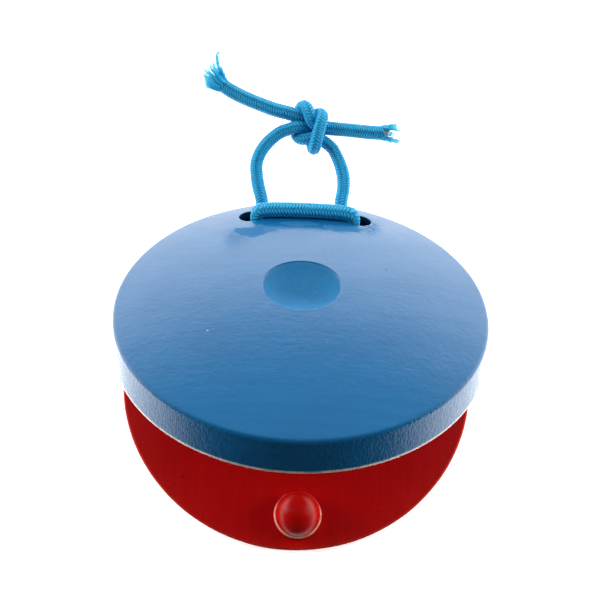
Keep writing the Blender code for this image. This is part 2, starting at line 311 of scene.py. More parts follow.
class Nodes:
    """A small hand for wiring one node tree."""

    def __init__(self, tree: Tree) -> None:
        """Take hold of a tree."""
        self.tree = tree

    def feed(self, node: bpy.types.Node, feeds: dict) -> None:
        """Give a node's inputs values, or join outputs to them."""
        for name, value in feeds.items():
            if isinstance(value, Socket):
                self.tree.links.new(value, node.inputs[name])
            else:
                node.inputs[name].default_value = value

    def add(self, kind: str, feeds: dict | None = None, **settings: object) -> bpy.types.Node:
        """Add a node.

        Args:
            kind: The node's type, without the ShaderNode prefix.
            feeds: Values or outputs for its inputs, by name or number.
            **settings: Properties to set on it.

        Returns:
            The node.
        """
        node = self.tree.nodes.new("ShaderNode" + kind)
        for name, value in settings.items():
            setattr(node, name, value)
        self.feed(node, feeds or {})
        return node

    def use(self, group: Tree, place: Socket) -> bpy.types.NodeOutputs:
        """Place a node group that works from coordinates, and give its outputs."""
        return self.add("Group", {"Place": place}, node_tree=group).outputs

    def math(self, operation: str, a: object, b: object = 0.0, clamp: bool = False) -> Socket:
        """Add a Math node.

        Args:
            operation: Its operation.
            a: The first value or output.
            b: The second value or output.
            clamp: Whether its result is kept from 0 to 1.

        Returns:
            Its result.
        """
        return self.add("Math", {0: a, 1: b}, operation=operation, use_clamp=clamp).outputs[0]

    def times(self, a: object, b: object) -> Socket:
        """Multiply two values."""
        return self.math("MULTIPLY", a, b)

    def plus(self, a: object, b: object, clamp: bool = False) -> Socket:
        """Add two values."""
        return self.math("ADD", a, b, clamp)

    def span(
        self, value: object, low: float, high: float, to_low: float = 0.0, to_high: float = 1.0
    ) -> Socket:
        """Map a range smoothly onto another.

        Args:
            value: The value or output to map.
            low: Where the range starts.
            high: Where it ends.
            to_low: What its start becomes.
            to_high: What its end becomes.

        Returns:
            The mapped value.
        """
        feeds = {"Value": value, "From Min": low, "From Max": high}
        feeds |= {"To Min": to_low, "To Max": to_high}
        return self.add("MapRange", feeds, interpolation_type="SMOOTHSTEP").outputs[0]

    def fall(self, value: object, low: float, high: float) -> Socket:
        """Map a range smoothly onto 1 at its start and 0 at its end."""
        return self.span(value, low, high, 1.0, 0.0)

    def blend(self, factor: object, a: object, b: object) -> Socket:
        """Blend two colours.

        Args:
            factor: 0 gives a and 1 gives b.
            a: A colour or an output.
            b: A colour or an output.

        Returns:
            The blended colour.
        """
        a, b = ((*colour, 1.0) if isinstance(colour, tuple) else colour for colour in (a, b))
        return self.add("Mix", {"Factor": factor, 6: a, 7: b}, data_type="RGBA").outputs[2]

    def noise(
        self, place: Socket, scale: object, detail: float = 2.0, rough: float = 0.5, warp: float = 0.0
    ) -> Socket:
        """Add a Noise texture.

        Args:
            place: The coordinates.
            scale: Its scale, in cells per metre.
            detail: Its octaves.
            rough: How strong the finer octaves are.
            warp: How far it is distorted.

        Returns:
            Its value, about 0.5 on average.
        """
        feeds = {"Vector": place, "Scale": scale}
        feeds |= {"Detail": detail, "Roughness": rough, "Distortion": warp}
        return self.add("TexNoise", feeds).outputs["Fac"]

    def mapped(self, place: Socket, **how: Point) -> Socket:
        """Scale or turn coordinates by an amount for each axis."""
        return self.add("Mapping", {"Vector": place, **how}).outputs[0]

    def shifted(self, place: Socket, by: Point) -> Socket:
        """Move coordinates."""
        return self.add("VectorMath", {0: place, 1: by}, operation="ADD").outputs[0]

    def length(self, place: Socket) -> Socket:
        """How far coordinates lie from their origin."""
        return self.add("VectorMath", {0: place}, operation="LENGTH").outputs["Value"]

    def axes(self, place: Socket) -> bpy.types.NodeOutputs:
        """Take coordinates apart into X, Y and Z."""
        return self.add("SeparateXYZ", {0: place}).outputs

    def bump(
        self, height: Socket, distance: float, strength: float = 1.0, under: Socket | None = None
    ) -> Socket:
        """Add a Bump node.

        Args:
            height: The height that it reads.
            distance: How deep the relief is, in metres.
            strength: How strongly it shows.
            under: The normal of coarser relief that it lies on.

        Returns:
            The bumped normal.
        """
        feeds = {"Height": height, "Distance": distance, "Strength": strength}
        if under is not None:
            feeds["Normal"] = under
        return self.add("Bump", feeds).outputs["Normal"]


def effect_group(name: str, sizes: dict[str, float], outputs: tuple[str, ...]) -> tuple:
    """Start a shader node group that works from coordinates.

    Args:
        name: The group's name.
        sizes: Its number inputs beside the coordinates, with their defaults.
        outputs: The names of its outputs.

    Returns:
        A hand on its nodes, its input sockets and its output node.
    """
    tree = bpy.data.node_groups.new(name, "ShaderNodeTree")
    tree.interface.new_socket("Place", in_out="INPUT", socket_type="NodeSocketVector")
    for label, default in sizes.items():
        socket = tree.interface.new_socket(label, in_out="INPUT", socket_type="NodeSocketFloat")
        socket.default_value = default
    for label in outputs:
        tree.interface.new_socket(label, in_out="OUTPUT", socket_type="NodeSocketFloat")
    return Nodes(tree), tree.nodes.new("NodeGroupInput").outputs, tree.nodes.new("NodeGroupOutput")


def wood_grain_group() -> Tree:
    """Build the group for wood grain that shows through paint.

    Returns:
        The group; Streaks is a mask and Pores a height.
    """
    n, take, give = effect_group("wood_grain", {"Fineness": 900.0}, ("Streaks", "Pores"))
    streak_place = n.mapped(take["Place"], Scale=(0.06, 1.0, 0.5))
    streaks = n.noise(streak_place, take["Fineness"], detail=4.0, warp=0.3)
    pore_place = n.mapped(take["Place"], Scale=(0.16, 1.0, 1.0))
    pores = n.noise(pore_place, n.times(take["Fineness"], 2.6), detail=3.0)
    n.feed(give, {"Streaks": n.span(streaks, 0.35, 0.65), "Pores": n.span(pores, 0.25, 0.55)})
    return n.tree


def brushed_paint_group() -> Tree:
    """Build the group for the skin of a thick, brushed lacquer.

    Returns:
        The group; Skin is a height and Patches a mask of thicker paint.
    """
    n, take, give = effect_group("brushed_paint", {"Peel Size": 1300.0}, ("Skin", "Patches"))
    peel = n.noise(take["Place"], take["Peel Size"], detail=3.0, rough=0.55)
    wave = n.noise(take["Place"], 260.0)
    patches = n.span(n.noise(take["Place"], 130.0, detail=3.0), 0.3, 0.7)
    n.feed(give, {"Skin": n.plus(n.times(peel, 0.55), n.times(wave, 0.45)), "Patches": patches})
    return n.tree


def specks_group() -> Tree:
    """Build the group for dust nibs and pin holes caught in the paint.

    Returns:
        The group; Nibs and Pits are masks.
    """
    n, take, give = effect_group("paint_specks", {"Spread": 240.0}, ("Nibs", "Pits"))
    kept_share = 0.1
    for label, seed, size in (("Nibs", 3.1, 0.035), ("Pits", 8.7, 0.045)):
        place = n.shifted(take["Place"], (seed, seed * 0.7, seed * 0.3))
        feeds = {"Vector": place, "Scale": take["Spread"]}
        cells = n.add("TexVoronoi", feeds, feature="F1").outputs
        dot = n.fall(cells["Distance"], size, size * 1.8)
        pick = n.add("SeparateColor", {0: cells["Color"]}).outputs[0]
        n.feed(give, {label: n.times(dot, n.math("GREATER_THAN", pick, 1.0 - kept_share))})
    return n.tree


def brush_stroke_group() -> Tree:
    """Build the group for short upright brush strokes round a turned edge.

    Returns:
        The group; Strokes is a height.
    """
    n, take, give = effect_group("edge_brush_strokes", {"Fineness": 2700.0}, ("Strokes",))
    axes = n.axes(take["Place"])
    around = n.times(n.math("ARCTAN2", axes["Y"], axes["X"]), SHELL_RADIUS * MM)
    wrapped = n.add("CombineXYZ", {"X": around, "Y": n.times(axes["Z"], 0.5)}).outputs[0]
    strokes = n.noise(wrapped, take["Fineness"], detail=3.0, rough=0.6, warp=0.4)
    n.feed(give, {"Strokes": n.span(strokes, 0.3, 0.7)})
    return n.tree


def fibre_group() -> Tree:
    """Build the group for fine yarn fibres.

    Returns:
        The group; Fibres is a height and Tone a mask.
    """
    n, take, give = effect_group("yarn_fibres", {}, ("Fibres", "Tone"))
    tone = n.span(n.noise(take["Place"], 1500.0, detail=3.0, rough=0.6), 0.3, 0.7)
    n.feed(give, {"Fibres": n.noise(take["Place"], 9000.0, rough=0.6), "Tone": tone})
    return n.tree


@dataclass
class Effects:
    """The shader node groups that several materials share."""

    grain: Tree = field(default_factory=wood_grain_group)
    paint: Tree = field(default_factory=brushed_paint_group)
    specks: Tree = field(default_factory=specks_group)
    strokes: Tree = field(default_factory=brush_stroke_group)
    fibres: Tree = field(default_factory=fibre_group)


def new_material(name: str) -> tuple[Material, Nodes, bpy.types.Node, Socket]:
    """Start a material with one Principled shader.

    Args:
        name: The material's name.

    Returns:
        The material, a hand on its nodes, the shader, and coordinates in the piece's frame.
    """
    made = bpy.data.materials.new(name)
    made.use_nodes = True
    n = Nodes(made.node_tree)
    return made, n, made.node_tree.nodes["Principled BSDF"], n.add("TexCoord").outputs["Object"]


# --------------------------------------------------------------------------- finishes


@dataclass(frozen=True)
class Lacquer:
    """A glossy lacquer on turned wood."""

    name: str
    colour: Colour
    deep: Colour
    edge: Colour
    roughness: float
    peel: float
    grain: float
    edge_height: tuple[float, float]
    edge_radius: float
    fresh: Colour = (0.0072, 0.21, 0.46)
    nib: Colour = (0.75, 0.85, 0.95)
    matte_dimple: float = 0.0
    dimple_floor: tuple[float, float] = (5.5, 6.0)
    brushed_rim: float = 0.0
    sheen: float = 0.5
    front_wear_and_highlight: bool = False
    rubs: tuple[tuple[float, float, float, float], ...] = ()
    bore_mouth: tuple[float, float] = (2.1, 2.22)
    bores_at: float = BORE_Y
    turn_grain: bool = False
    skin_depth: float = 0.00012
    fine_depth: float = 0.00005
    rub_scale: float = 520.0
    wear_scale: float = 700.0
    fresh_in_dimple: float = 0.55
    fresh_in_rubs: float = 0.12
    bore_shade: float = 0.3
    nib_strength: float = 0.35
    pit_strength: float = 0.7
    pit_shade: float = 0.2
    worn_rough: float = 0.12
    dull_rough: float = 0.6
    strokes_in_dimple: float = 0.8

    def material(self, fx: Effects) -> Material:
        """Build the lacquer's material.

        Args:
            fx: The shared node groups.

        Returns:
            The material.
        """
        made, n, shader, place = new_material(self.name)
        grain_place = n.mapped(place, Rotation=(0.0, 0.0, math.pi / 2)) if self.turn_grain else place
        grain, paint, specks = (
            n.use(group, at) for group, at in ((fx.grain, grain_place), (fx.paint, place), (fx.specks, place))
        )
        masks = (self.in_dimple, self.rubbed, self.edge_wear_and_highlight, self.in_bore)
        dimple, rubbed, wear_and_highlight, bore = (mask(n, place) for mask in masks)

        tone = n.plus(n.times(grain["Streaks"], 0.5), n.times(paint["Patches"], 0.5))
        colour = n.blend(tone, self.colour, self.deep)
        fresh = n.times(dimple, self.fresh_in_dimple), n.times(rubbed, self.fresh_in_rubs)
        colour = n.blend(n.plus(*fresh, clamp=True), colour, self.fresh)
        # pale edge line: partly thin worn paint, partly a painted highlight
        colour = n.blend(wear_and_highlight, colour, self.edge)
        bore_shade_colour, pit_colour = (
            tuple(c * shade for c in self.deep) for shade in (self.bore_shade, self.pit_shade)
        )
        # painted shade: the walls of the cord holes are darkened
        colour = n.blend(bore, colour, bore_shade_colour)
        colour = n.blend(n.times(specks["Nibs"], self.nib_strength), colour, self.nib)
        colour = n.blend(n.times(specks["Pits"], self.pit_strength), colour, pit_colour)

        rough = n.span(paint["Patches"], 0.0, 1.0, self.roughness * 0.85, self.roughness * 1.2)
        rough = n.plus(rough, n.times(wear_and_highlight, self.worn_rough))
        rough = n.plus(rough, n.times(n.math("MAXIMUM", dimple, rubbed), self.dull_rough))

        skin = n.bump(paint["Skin"], self.skin_depth, self.peel)
        pores = n.bump(grain["Pores"], self.fine_depth, self.grain, skin)
        low, high = (self.edge_radius - 0.75) * MM, (self.edge_radius - 0.2) * MM
        rim = n.times(n.span(self.reach(n, place), low, high), self.brushed_rim)
        amount = n.plus(rim, n.times(dimple, self.strokes_in_dimple))
        strokes = n.times(n.use(fx.strokes, place)["Strokes"], amount)
        n.feed(shader, {
            "Base Color": colour,
            "Roughness": rough,
            "Specular IOR Level": self.sheen,
            "Normal": n.bump(strokes, self.fine_depth, under=pores),
        })
        return made

    def reach(self, n: Nodes, place: Socket) -> Socket:
        """How far a point lies from the piece's axis, in metres."""
        return n.length(n.mapped(place, Scale=(1.0, 1.0, 0.0)))

    def in_dimple(self, n: Nodes, place: Socket) -> Socket | float:
        """Mask the inside of the outer dimple, which is never rubbed smooth.

        Args:
            n: The material's nodes.
            place: Coordinates in the piece's own frame.

        Returns:
            The mask, or nothing where the finish has no dull dimple.
        """
        if self.matte_dimple == 0.0:
            return 0.0
        size = self.matte_dimple
        inside = n.fall(self.reach(n, place), (size - 0.3) * MM, size * MM)
        low, high = self.dimple_floor
        return n.times(inside, n.span(n.axes(place)["Z"], low * MM, high * MM))

    def in_bore(self, n: Nodes, place: Socket) -> Socket:
        """Mask the walls of the two cord holes, where hardly any light falls.

        Args:
            n: The material's nodes.
            place: Coordinates in the piece's own frame.

        Returns:
            The mask.
        """
        axes = n.axes(place)
        beside = n.math("SUBTRACT", n.math("ABSOLUTE", axes["X"]), BORE_X * MM)
        behind = n.math("SUBTRACT", axes["Y"], self.bores_at * MM)
        away = n.math("SQRT", n.plus(n.times(beside, beside), n.times(behind, behind)))
        wall, mouth = self.bore_mouth
        return n.fall(away, wall * MM, mouth * MM)

    def rubbed(self, n: Nodes, place: Socket) -> Socket | float:
        """Mask the ragged patches in front of the holes that the cord has rubbed dull.

        Args:
            n: The material's nodes.
            place: Coordinates in the piece's own frame.

        Returns:
            The mask, or nothing where the finish has no such patch.
        """
        total = 0.0
        if self.rubs:
            ragged = n.times(n.noise(place, self.rub_scale, detail=3.0), 1.5)
        for x, y, half_wide, half_deep in self.rubs:
            moved = n.shifted(place, (-x * MM, -y * MM, 0.0))
            squeeze = (1.0 / (half_wide * MM), 1.0 / (half_deep * MM), 0.0)
            reach = n.plus(n.length(n.mapped(moved, Scale=squeeze)), ragged)
            patch = n.fall(reach, 1.35, 1.75)
            total = n.math("MAXIMUM", total, patch)
        return total

    def edge_wear_and_highlight(self, n: Nodes, place: Socket) -> Socket:
        """Mask the pale line along the sharp edge: partly paint lying thin there, partly a painted highlight
        where the edge catches the light.

        Args:
            n: The material's nodes.
            place: Coordinates in the piece's own frame.

        Returns:
            The mask, broken up along the edge.
        """
        low, high = (height * MM for height in self.edge_height)
        soft = (high - low) * 0.4
        axes = n.axes(place)
        band = n.times(n.span(axes["Z"], low - soft, low), n.fall(axes["Z"], high, high + soft))
        outer = n.span(self.reach(n, place), (self.edge_radius - 0.12) * MM, self.edge_radius * MM)
        broken = n.span(n.noise(place, self.wear_scale, detail=3.0), 0.25, 0.6, 0.45, 1.0)
        # on the knob the pale edge line, worn paint and painted highlight, is kept to its front
        if self.front_wear_and_highlight:
            broken = n.times(broken, n.fall(axes["Y"], 0.5 * MM, 1.8 * MM))
        return n.times(n.times(band, outer), broken)


@dataclass(frozen=True)
class BraidYarn:
    """The bright polyester yarn of the cord's braided sheath."""

    name: str = "braided_sheath_yarn"
    # crown: the yarn tops, lightened as painted light; the darkest colour below is painted shade between the
    # yarns
    crown: Colour = (0.045, 0.58, 0.92)
    body: Colour = (0.011, 0.28, 0.61)
    crevice_shade: Colour = (0.001, 0.032, 0.13)
    sheen: Colour = (0.45, 0.85, 1.0)
    fibre_depth: float = 0.00004

    def material(self, fx: Effects) -> Material:
        """Build the yarn's material, which reads how high each point lies in the braid, painting shade into
        the crevices and a lighter colour on the yarn tops as painted light.

        Args:
            fx: The shared node groups.

        Returns:
            The material.
        """
        made, n, shader, place = new_material(self.name)
        fibres = n.use(fx.fibres, place)
        height = n.add("Attribute", attribute_name="braid_height").outputs["Fac"]
        # painted shade in the crevices between the yarns, painted light on the yarn tops
        colour = n.blend(n.span(height, 0.12, 0.68), self.crevice_shade, self.body)
        colour = n.blend(n.span(height, 0.55, 1.0), colour, self.crown)
        n.feed(shader, {
            "Base Color": n.blend(n.times(fibres["Tone"], 0.3), colour, self.crown),
            "Roughness": 0.62,
            "Specular IOR Level": 0.35,
            "Sheen Weight": 0.18,
            "Sheen Roughness": 0.4,
            "Sheen Tint": (*self.sheen, 1.0),
            "Normal": n.bump(fibres["Fibres"], self.fibre_depth, 0.35),
        })
        return made


@dataclass(frozen=True)
class LooseFibre:
    """The same yarn where it has come apart into single fibres."""

    name: str = "loose_yarn_fibres"
    root: Colour = (0.018, 0.44, 0.76)
    tip: Colour = (0.16, 0.80, 0.93)
    # a faint painted glow: the fibres shine with their own colour, though they are no lamp
    glow: float = 0.12
    tip_alpha: float = 0.75

    def material(self, fx: Effects) -> Material:
        """Build the fibres' material, paler towards the tips and given a faint painted glow of their own
        colour.

        Args:
            fx: The shared node groups.

        Returns:
            The material.
        """
        made, n, shader, place = new_material(self.name)
        along = n.add("Attribute", attribute_name="fibre_run").outputs["Fac"]
        tone = n.times(n.use(fx.fibres, place)["Tone"], 0.2)
        colour = n.blend(n.plus(n.span(along, 0.5, 1.0), tone, clamp=True), self.root, self.tip)
        n.feed(shader, {
            "Base Color": colour,
            # painted glow of the fibres' own colour
            "Emission Color": colour,
            "Emission Strength": self.glow,
            "Alpha": n.span(along, 0.6, 1.0, 1.0, self.tip_alpha),
            "Roughness": 0.6,
            "Specular IOR Level": 0.2,
            "Sheen Weight": 0.05,
        })
        return made


@dataclass(frozen=True)
class Rubber:
    """The pale latex core inside the sheath."""

    name: str = "latex_core"
    colour: Colour = (0.80, 0.66, 0.60)
    bloom: Colour = (0.9, 0.8, 0.76)
    thread_scale: float = 4200.0
    thread_depth: float = 0.00005

    def material(self, fx: Effects) -> Material:
        """Build the rubber's material, with the bundle of threads it is cut from.

        Args:
            fx: The shared node groups.

        Returns:
            The material.
        """
        made, n, shader, place = new_material(self.name)
        cells = n.add("TexVoronoi", {"Vector": place, "Scale": self.thread_scale}, feature="F1")
        threads = cells.outputs["Distance"]
        tone = n.times(n.span(threads, 0.1, 0.6), 0.8)
        colour = n.blend(tone, self.colour, tuple(c * 0.72 for c in self.colour))
        dusty = n.times(n.use(fx.fibres, place)["Tone"], 0.25)
        n.feed(shader, {
            "Base Color": n.blend(dusty, colour, self.bloom),
            "Roughness": 0.55,
            "Subsurface Weight": 0.2,
            "Subsurface Radius": (0.0008, 0.0005, 0.0004),
            "Normal": n.bump(threads, self.thread_depth, 0.5),
        })
        return made


# --------------------------------------------------------------------------- shells


@dataclass
class Shell:
    """One turned shell: crowned outside, cupped inside, drilled for the cord."""

    name: str
    node: str
    body: Body
    place: Matrix
    finish: Lacquer
    slot: str
    radius: float = SHELL_RADIUS
    rim: float = 5.5
    crown: float = 4.0
    edge_round: float = 0.77
    edge_turn: float = 74.5
    lip_round: float = 0.4
    cup_round: float = 0.25
    dimple: float = 5.4
    dimple_depth: float = 1.7
    dimple_lip: float = 0.35
    land: float = 1.0
    cup: float = 15.0
    cup_depth: float = 4.8
    hole: float = 2.08
    hole_at: tuple[float, float] = (BORE_X, BORE_Y)
    hole_round: float = 0.22
    socket: tuple[float, float, float, float] | None = None
    steps: int = 320
    wander: float = 0.035
    taper: float = 0.45
    sharp_from: float = 50.0

    def height(self) -> float:
        """The shell's height at the dimple: flat land there, or the bare dome."""
        if self.land > 0.0:
            return self.rim + self.crown
        return self.dome(self.dimple)

    def dome(self, at: float) -> float:
        """The dome's height at a distance from the axis."""
        return self.rim + cap_height(self.radius, self.crown, at)

    def profile(self) -> Profile:
        """The section from the dimple's middle, down the outside, to the cup's middle.

        Returns:
            (radius, height) points in millimetres.
        """
        top, lip = self.height(), self.dimple_lip
        bowl = [self.dimple * i / 14 for i in range(14)]
        points = [(at, top - cap_height(self.dimple, self.dimple_depth, at)) for at in bowl]
        points += arc((self.dimple + lip * 0.75, top - lip), lip, 150, 90, 6)
        points.append((self.dimple + self.land + 0.3, top - 0.02))

        turn = math.radians(self.edge_turn)
        edge_middle = self.radius - self.taper - self.edge_round
        dome_start = self.dimple + self.land + 0.8
        dome_end = edge_middle + self.edge_round * math.cos(turn)
        edge_height = self.dome(dome_end) - self.edge_round * math.sin(turn)
        stops = [dome_start + (dome_end - dome_start) * i / 40 for i in range(40)]
        points += [(at, self.dome(at)) for at in stops]
        points += arc((edge_middle, edge_height), self.edge_round, self.edge_turn, 0, 10)

        wall, outer = edge_height - self.lip_round, self.radius - self.taper
        points += [(outer + self.taper * i / 7, edge_height - wall * i / 7) for i in range(1, 7)]
        points += arc((self.radius - self.lip_round, self.lip_round), self.lip_round, 0, -90, 7)

        face = self.radius - 1.0 - self.cup
        points += [(self.cup + face * i / 14, 0.0) for i in range(14, 0, -1)]
        points += arc((self.cup + self.cup_round, self.cup_round), self.cup_round, 270, 212, 4)
        hollow = [self.cup * (1 - i / 16) for i in range(1, 17)]
        points += [(at, cap_height(self.cup, self.cup_depth, at)) for at in hollow]
        return points

    def build(self) -> Object:
        """Turn, drill and smooth the shell.

        Returns:
            The shell, in its place.
        """
        shell = mesh_object(self.name, *turned_mesh(self.profile(), self.steps))
        for side in Side:
            self.bore(shell, side)
        if self.socket is not None:
            self.sink_socket(shell)
        self.unsettle(shell)
        shell.data.shade_smooth()
        shell.data.set_sharp_from_angle(angle=math.radians(self.sharp_from))
        shell.matrix_world = self.place
        return shell

    def bore(self, shell: Object, side: Side) -> None:
        """Drill one cord hole and round both its mouths.

        Args:
            shell: The shell.
            side: Which hole.
        """
        x, y = self.hole_at[0] * side.value, self.hole_at[1]
        drill = [(0.0, 12.0), (self.hole, 12.0), (self.hole, -2.0), (0.0, -2.0)]
        self.cut(shell, drill, Matrix.Translation(Vector((x, y, 0.0)) * MM))
        top = Vector((x, y, self.dome(math.hypot(x, y))))
        sphere = (self.radius**2 + self.crown**2) / (2 * self.crown)
        normal = Vector((x / sphere, y / sphere, 1.0)).normalized()
        upright = normal.to_track_quat("Z", "Y").to_matrix().to_4x4()
        self.cut(shell, self.countersink(), Matrix.Translation(top * MM) @ upright)
        self.cut(shell, self.countersink(), self.from_inside(x, y))

    def from_inside(self, x: float, y: float) -> Matrix:
        """Stand a cutter on the inner face, pointing into the wood."""
        return Matrix.Translation(Vector((x, y, 0.0)) * MM) @ Matrix.Rotation(math.pi, 4, "X")

    def countersink(self) -> Profile:
        """The cutter that rounds a hole's mouth, with the surface at height 0."""
        soft = self.hole_round
        rounded = arc((self.hole + soft, -soft), soft, 90, 180, 5)
        return [(0.0, 0.6), (self.hole + soft * 1.02, 0.6), *rounded, (0.0, -soft)]

    def sink_socket(self, shell: Object) -> None:
        """Cut the blind socket that holds the striker knob's spigot."""
        radius, depth, x, y = self.socket
        plug = [(0.0, 1.0), (radius, 1.0), (radius, -depth), (0.0, -depth)]
        self.cut(shell, plug, self.from_inside(x, y))

    def cut(self, shell: Object, profile: Profile, place: Matrix) -> None:
        """Take a turned cutter out of the shell.

        Args:
            shell: The shell.
            profile: The cutter's section.
            place: Where it stands in the shell's frame.
        """
        cutter = mesh_object("cutter", *turned_mesh(profile, 48))
        cutter.matrix_world = place
        step = shell.modifiers.new("cut", "BOOLEAN")
        step.operation, step.solver, step.object = "DIFFERENCE", "EXACT", cutter
        bpy.context.view_layer.update()
        cut_shell = shell.evaluated_get(bpy.context.evaluated_depsgraph_get())
        done = bpy.data.meshes.new_from_object(cut_shell)
        shell.modifiers.clear()
        shell.data = done
        bpy.data.objects.remove(cutter)

    def unsettle(self, shell: Object) -> None:
        """Give the outer skin the slight unevenness of hand sanding and brushed paint."""
        mesh = shell.data
        spots, normals = (np.empty(len(mesh.vertices) * 3, np.float32) for _ in range(2))
        mesh.vertices.foreach_get("co", spots)
        mesh.vertex_normals.foreach_get("vector", normals)
        spots = spots.reshape(-1, 3)
        beside = abs(spots[:, 0]) / MM - self.hole_at[0]
        behind = spots[:, 1] / MM - self.hole_at[1]
        fade = np.clip((np.hypot(beside, behind) - self.hole - 0.3) / 3.0, 0.0, 1.0)
        points = [Vector(p) / MM for p in spots.tolist()]
        shift = Vector((4.0, 1.0, 7.0))
        lift = [noise.noise(p * 0.13 + shift) + 0.35 * noise.noise(p * 0.45) for p in points]
        spots += normals.reshape(-1, 3) * (np.array(lift) * fade * self.wander * MM)[:, None]
        mesh.vertices.foreach_set("co", spots.ravel())
        mesh.update()

    def dress(self, shell: Object, fx: Effects) -> None:
        """Give the shell its lacquer and its place in the assembly."""
        shell.data.materials.clear()
        shell.data.materials.append(self.finish.material(fx))
        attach(shell, self.body.value)
        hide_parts(self.node)

    def make(self, fx: Effects) -> Object:
        """Build and dress the shell."""
        shell = self.build()
        self.dress(shell, fx)
        LOG.info("%s: %d faces", self.name, len(shell.data.polygons))
        return shell


@dataclass
class StrikerKnob:
    """The small turned knob that strikes the upper shell."""

    finish: Lacquer
    radius: float = 3.6
    neck: float = 1.6
    undercut: float = 0.32
    spigot: float = 1.5
    spigot_length: float = 2.5
    edge: float = 0.22
    wander: float = 0.03
    sharp_from: float = 60.0

    def profile(self) -> Profile:
        """The section from the crown down to the end of the spigot."""
        inner = self.radius - self.edge
        ball = arc((0.0, self.neck), self.radius, 90, 6, 20)
        dome = [(r * inner / self.radius, z) for r, z in ball]
        edge = arc((inner, self.neck - 0.02), self.edge, 75, -60, 9)
        waist = self.radius - self.undercut
        side = [(waist, self.neck * 0.55), (waist, 0.35), (waist + 0.12, 0.12), (waist + 0.2, 0.02)]
        foot = [(self.spigot, 0.02), (self.spigot, -self.spigot_length), (0.0, -self.spigot_length)]
        return dome + edge + side + foot

    def make(self, fx: Effects) -> Object:
        """Turn the knob and stand it on the lower shell's inner face.

        Args:
            fx: The shared node groups.

        Returns:
            The knob.
        """
        low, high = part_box("striker_knob")
        knob = mesh_object("turned_striker_knob", *turned_mesh(self.profile(), 96))
        for vert in knob.data.vertices:
            lift = noise.noise(vert.co / MM * 0.7 + Vector((2.0, 5.0, 1.0)))
            vert.co += vert.normal * lift * self.wander * MM
        knob.data.set_sharp_from_angle(angle=math.radians(self.sharp_from))
        knob.location = ((low.x + high.x) / 2, (low.y + high.y) / 2, LOWER_FACE * MM)
        knob.data.materials.append(self.finish.material(fx))
        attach(knob, Body.LOWER.value)
        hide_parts("striker_knob")
        LOG.info("striker knob: %d faces", len(knob.data.polygons))
        return knob


# --------------------------------------------------------------------------- cord


@dataclass
class BraidedCord:
    """A tube of braided sheath: two sets of yarns plaited two over, two under."""

    name: str
    line: np.ndarray
    radius: Callable[[np.ndarray], np.ndarray]
    pitch: float = 3.4
    yarns: int = 8
    relief: float = 0.23
    mean_height: float = 0.62
    row: float = 0.085
    around: int = 44

    def frames(self, line: np.ndarray) -> tuple[np.ndarray, np.ndarray]:
        """Carry a frame along the line without twisting it.

        Args:
            line: The centreline's points.

        Returns:
            Two unit vectors across the line at each point.
        """
        tangent = np.gradient(line, axis=0)
        tangent /= np.linalg.norm(tangent, axis=1)[:, None]
        across = np.cross(tangent[0], (0.0, 0.0, 1.0))
        if np.linalg.norm(across) < 0.1:
            across = np.cross(tangent[0], (0.0, 1.0, 0.0))
        firsts = []
        for t in tangent:
            across = across - t * (across @ t)
            across /= np.linalg.norm(across)
            firsts.append(across.copy())
        first = np.array(firsts)
        return first, np.cross(tangent, first)

    def braid(self, turn: np.ndarray, run: np.ndarray) -> np.ndarray:
        """How high the sheath stands at a place on the tube.

        Args:
            turn: Angles round the tube.
            run: Distances along it.

        Returns:
            Heights from 0, between the yarns, to 1, on top of one.
        """
        a = self.yarns * (turn / math.tau + run / self.pitch)
        b = self.yarns * (turn / math.tau - run / self.pitch)
        weave = np.mod(np.floor(a) + np.floor(b), 4)
        over = weave < 2
        across = np.where(over, a - np.floor(a), b - np.floor(b)) - 0.5
        along = np.where(over, (weave + b - np.floor(b)) / 2, (weave - 2 + a - np.floor(a)) / 2)
        crown = np.sqrt(np.clip(1.0 - (2.0 * across) ** 2 * 0.97, 0.0, 1.0))
        arch = np.clip(np.sin(np.pi * np.clip(along, 0.0, 1.0)), 0.0, 1.0) ** 0.5
        return crown * (0.4 + 0.6 * arch)

    def build(self) -> Object:
        """Skin the tube with its braid.

        Returns:
            The cord, one closed mesh that knows how high each point lies in the braid.
        """
        line = evenly(self.line, self.row)
        first, second = self.frames(line)
        run = np.arange(len(line)) * run_length(line) / (len(line) - 1)
        turn = np.linspace(0.0, math.tau, self.around, endpoint=False)
        grid_run, grid_turn = np.meshgrid(run, turn, indexing="ij")
        height = self.braid(grid_turn, grid_run)
        size = self.radius(run / run[-1])[:, None] + self.relief * (height - self.mean_height)
        cosine, sine = np.cos(turn)[None, :, None], np.sin(turn)[None, :, None]
        spoke = first[:, None, :] * cosine + second[:, None, :] * sine
        verts = (line[:, None, :] + spoke * size[:, :, None]).reshape(-1, 3)
        faces = tube_faces(len(line), self.around)
        last, end = len(verts), (len(line) - 1) * self.around
        verts = np.vstack([verts, line[:1], line[-1:]])
        for j in range(self.around):
            k = (j + 1) % self.around
            faces += [(last, k, j), (last + 1, end + j, end + k)]
        cord = mesh_object(self.name, verts, faces)
        store(cord, "braid_height", np.append(height.ravel(), [0.0, 0.0]))
        LOG.info("%s: %.1f mm of cord, %d faces", self.name, run[-1], len(faces))
        return cord


